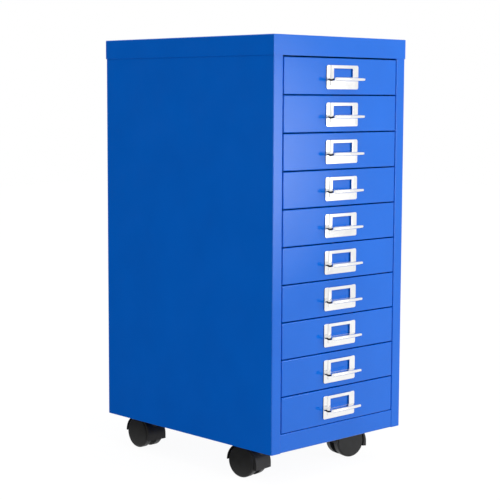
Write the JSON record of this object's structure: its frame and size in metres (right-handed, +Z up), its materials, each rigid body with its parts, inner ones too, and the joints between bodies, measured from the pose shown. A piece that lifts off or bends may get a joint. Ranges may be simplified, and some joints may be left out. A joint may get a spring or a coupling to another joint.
{
  "type": "mobile filing cabinet",
  "caption": "Slim steel filing cabinet on swivel casters, with a full stack of shallow drawers that slide out on ledges, each with a plated pull and card holder.",
  "frame": {"origin": "on the floor, under the middle of the overall box, pulls included", "axes": "+Z up, drawers open towards -Y, +X to the right of someone who faces the drawers"},
  "size_m": [0.29, 0.4092, 0.669],
  "materials": {
    "case_paint": "semi-gloss blue powder coat on folded steel",
    "drawer_paint": "semi-gloss blue powder coat on folded steel",
    "chrome": "polished plating",
    "hood_plastic": "moulded black nylon, fine satin",
    "wheel_plastic": "moulded black nylon, smooth disc and plain tread",
    "plated_steel": "zinc-plated steel"
  },
  "bodies": {
    "cabinet": {"top_cap": "case_paint", "left_side_panel": "case_paint", "right_side_panel": "case_paint", "back_panel": "case_paint", "plinth_rail": "case_paint", "base_tray": "case_paint", "left_runner_rack": "case_paint", "right_runner_rack": "case_paint", "left_runners": "case_paint", "right_runners": "case_paint", "caster_stems": "plated_steel"},
    "drawer_01": {"drawer_front_01": "drawer_paint", "drawer_tray_01": "drawer_paint", "drawer_pull_01": "chrome"},
    "drawer_02": {"drawer_front_02": "drawer_paint", "drawer_tray_02": "drawer_paint", "drawer_pull_02": "chrome"},
    "drawer_03": {"drawer_front_03": "drawer_paint", "drawer_tray_03": "drawer_paint", "drawer_pull_03": "chrome"},
    "drawer_04": {"drawer_front_04": "drawer_paint", "drawer_tray_04": "drawer_paint", "drawer_pull_04": "chrome"},
    "drawer_05": {"drawer_front_05": "drawer_paint", "drawer_tray_05": "drawer_paint", "drawer_pull_05": "chrome"},
    "drawer_06": {"drawer_front_06": "drawer_paint", "drawer_tray_06": "drawer_paint", "drawer_pull_06": "chrome"},
    "drawer_07": {"drawer_front_07": "drawer_paint", "drawer_tray_07": "drawer_paint", "drawer_pull_07": "chrome"},
    "drawer_08": {"drawer_front_08": "drawer_paint", "drawer_tray_08": "drawer_paint", "drawer_pull_08": "chrome"},
    "drawer_09": {"drawer_front_09": "drawer_paint", "drawer_tray_09": "drawer_paint", "drawer_pull_09": "chrome"},
    "drawer_10": {"drawer_front_10": "drawer_paint", "drawer_tray_10": "drawer_paint", "drawer_pull_10": "chrome"},
    "front_left_caster": {"front_left_hood": "hood_plastic", "front_left_axle": "plated_steel"},
    "front_left_wheel_a": {"front_left_wheel_a": "wheel_plastic"},
    "front_left_wheel_b": {"front_left_wheel_b": "wheel_plastic"},
    "front_right_caster": {"front_right_hood": "hood_plastic", "front_right_axle": "plated_steel"},
    "front_right_wheel_a": {"front_right_wheel_a": "wheel_plastic"},
    "front_right_wheel_b": {"front_right_wheel_b": "wheel_plastic"},
    "rear_left_caster": {"rear_left_hood": "hood_plastic", "rear_left_axle": "plated_steel"},
    "rear_left_wheel_a": {"rear_left_wheel_a": "wheel_plastic"},
    "rear_left_wheel_b": {"rear_left_wheel_b": "wheel_plastic"},
    "rear_right_caster": {"rear_right_hood": "hood_plastic", "rear_right_axle": "plated_steel"},
    "rear_right_wheel_a": {"rear_right_wheel_a": "wheel_plastic"},
    "rear_right_wheel_b": {"rear_right_wheel_b": "wheel_plastic"}
  },
  "joints": [
    {"name": "drawer_01_slide", "type": "slide", "parent": "cabinet", "child": "drawer_01", "axis": [0, -1, 0], "range_m": [0, 0.3]},
    {"name": "drawer_02_slide", "type": "slide", "parent": "cabinet", "child": "drawer_02", "axis": [0, -1, 0], "range_m": [0, 0.3]},
    {"name": "drawer_03_slide", "type": "slide", "parent": "cabinet", "child": "drawer_03", "axis": [0, -1, 0], "range_m": [0, 0.3]},
    {"name": "drawer_04_slide", "type": "slide", "parent": "cabinet", "child": "drawer_04", "axis": [0, -1, 0], "range_m": [0, 0.3]},
    {"name": "drawer_05_slide", "type": "slide", "parent": "cabinet", "child": "drawer_05", "axis": [0, -1, 0], "range_m": [0, 0.3]},
    {"name": "drawer_06_slide", "type": "slide", "parent": "cabinet", "child": "drawer_06", "axis": [0, -1, 0], "range_m": [0, 0.3]},
    {"name": "drawer_07_slide", "type": "slide", "parent": "cabinet", "child": "drawer_07", "axis": [0, -1, 0], "range_m": [0, 0.3]},
    {"name": "drawer_08_slide", "type": "slide", "parent": "cabinet", "child": "drawer_08", "axis": [0, -1, 0], "range_m": [0, 0.3]},
    {"name": "drawer_09_slide", "type": "slide", "parent": "cabinet", "child": "drawer_09", "axis": [0, -1, 0], "range_m": [0, 0.3]},
    {"name": "drawer_10_slide", "type": "slide", "parent": "cabinet", "child": "drawer_10", "axis": [0, -1, 0], "range_m": [0, 0.3]},
    {"name": "front_left_swivel", "type": "hinge", "parent": "cabinet", "child": "front_left_caster", "pos_m": [-0.109, -0.11935, 0.052], "axis": [0, 0, 1], "continuous": true},
    {"name": "front_left_wheel_a_spin", "type": "hinge", "parent": "front_left_caster", "child": "front_left_wheel_a", "pos_m": [-0.11141, -0.10101, 0.025], "axis": [0.9914, 0.1305, 0], "continuous": true},
    {"name": "front_left_wheel_b_spin", "type": "hinge", "parent": "front_left_caster", "child": "front_left_wheel_b", "pos_m": [-0.11141, -0.10101, 0.025], "axis": [0.9914, 0.1305, 0], "continuous": true},
    {"name": "front_right_swivel", "type": "hinge", "parent": "cabinet", "child": "front_right_caster", "pos_m": [0.109, -0.11935, 0.052], "axis": [0, 0, 1], "continuous": true},
    {"name": "front_right_wheel_a_spin", "type": "hinge", "parent": "front_right_caster", "child": "front_right_wheel_a", "pos_m": [0.0909, -0.1155, 0.025], "axis": [0.2079, 0.9781, 0], "continuous": true},
    {"name": "front_right_wheel_b_spin", "type": "hinge", "parent": "front_right_caster", "child": "front_right_wheel_b", "pos_m": [0.0909, -0.1155, 0.025], "axis": [0.2079, 0.9781, 0], "continuous": true},
    {"name": "rear_left_swivel", "type": "hinge", "parent": "cabinet", "child": "rear_left_caster", "pos_m": [-0.109, 0.13165, 0.052], "axis": [0, 0, 1], "continuous": true},
    {"name": "rear_left_wheel_a_spin", "type": "hinge", "parent": "rear_left_caster", "child": "rear_left_wheel_a", "pos_m": [-0.10916, 0.15015, 0.025], "axis": [1, 0.0087, 0], "continuous": true},
    {"name": "rear_left_wheel_b_spin", "type": "hinge", "parent": "rear_left_caster", "child": "rear_left_wheel_b", "pos_m": [-0.10916, 0.15015, 0.025], "axis": [1, 0.0087, 0], "continuous": true},
    {"name": "rear_right_swivel", "type": "hinge", "parent": "cabinet", "child": "rear_right_caster", "pos_m": [0.109, 0.13165, 0.052], "axis": [0, 0, 1], "continuous": true},
    {"name": "rear_right_wheel_a_spin", "type": "hinge", "parent": "rear_right_caster", "child": "rear_right_wheel_a", "pos_m": [0.11285, 0.14975, 0.025], "axis": [0.9781, -0.2079, 0], "continuous": true},
    {"name": "rear_right_wheel_b_spin", "type": "hinge", "parent": "rear_right_caster", "child": "rear_right_wheel_b", "pos_m": [0.11285, 0.14975, 0.025], "axis": [0.9781, -0.2079, 0], "continuous": true}
  ]
}
